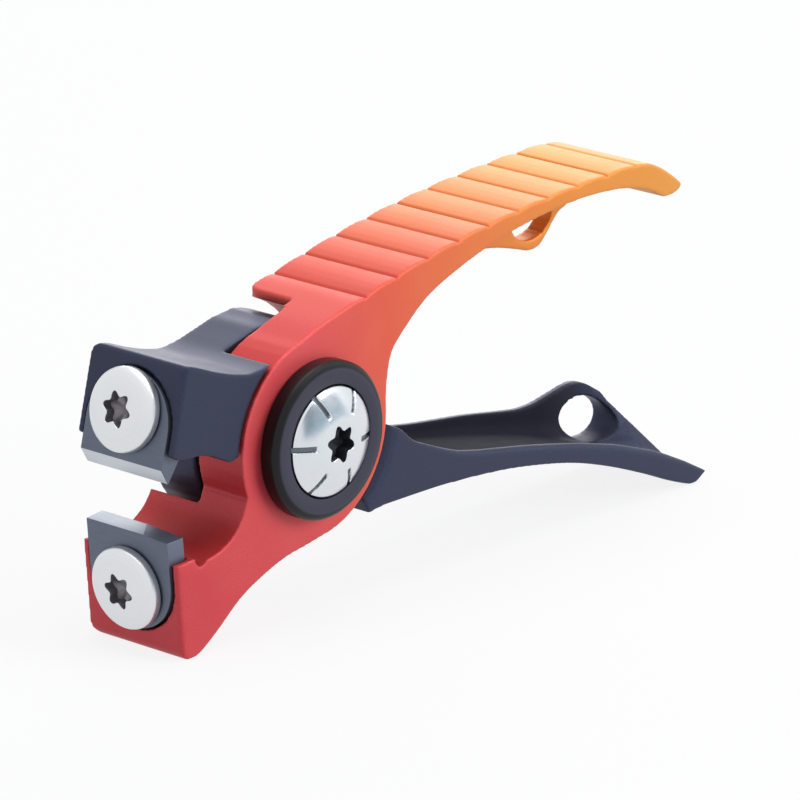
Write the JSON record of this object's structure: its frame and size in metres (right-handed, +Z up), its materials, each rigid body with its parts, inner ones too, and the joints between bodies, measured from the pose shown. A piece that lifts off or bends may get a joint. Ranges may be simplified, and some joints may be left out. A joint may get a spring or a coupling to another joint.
{
  "type": "lever nipper",
  "caption": "Hand nipper with crossed sprung levers on a side pivot, screwed cutter and anvil plates in the jaws, and a ribbed thumb pad.",
  "frame": {"origin": "Middle of the footprint, on the surface that the tool stands on.", "axes": "+X from the jaws to the handle ends, +Y from the ribbed lever's hub side to the plain lever's hub side, along the pivot, +Z up."},
  "size_m": [0.0672, 0.0154, 0.0296],
  "materials": {
    "red_anodised": "satin anodised, red at the jaw fading to orange and amber at the handle",
    "black_anodised": "satin black anodised with a slate tint",
    "plate_steel": "dark hardened steel, ground bright on the cutting edge and the land",
    "screw_steel": "satin stainless",
    "cap_steel": "polished, with radial grooves",
    "ring_steel": "satin black",
    "bush_bronze": "turned bearing bronze",
    "pin_steel": "ground steel"
  },
  "bodies": {
    "ribbed_body": {"ribbed_lever": "red_anodised", "anvil_plate": "plate_steel", "anvil_screw": "screw_steel", "near_ring": "ring_steel", "pivot_screw": "cap_steel", "pivot_barrel": "cap_steel", "near_bush": "bush_bronze", "thrust_washer": "bush_bronze", "stop_pin": "pin_steel", "return_spring": "pin_steel"},
    "plain_body": {"plain_lever": "black_anodised", "cutter_plate": "plate_steel", "cutter_screw": "screw_steel", "far_ring": "ring_steel", "far_bush": "bush_bronze"}
  },
  "joints": [
    {"name": "pivot", "type": "hinge", "parent": "ribbed_body", "child": "plain_body", "pos_m": [-0.01581, 0, 0.01484], "axis": [0, -1, 0], "range_deg": [0, 15], "stiffness_Nm_per_rad": 0.05, "springref_deg": -34.38, "deforming": ["return_spring"]}
  ]
}
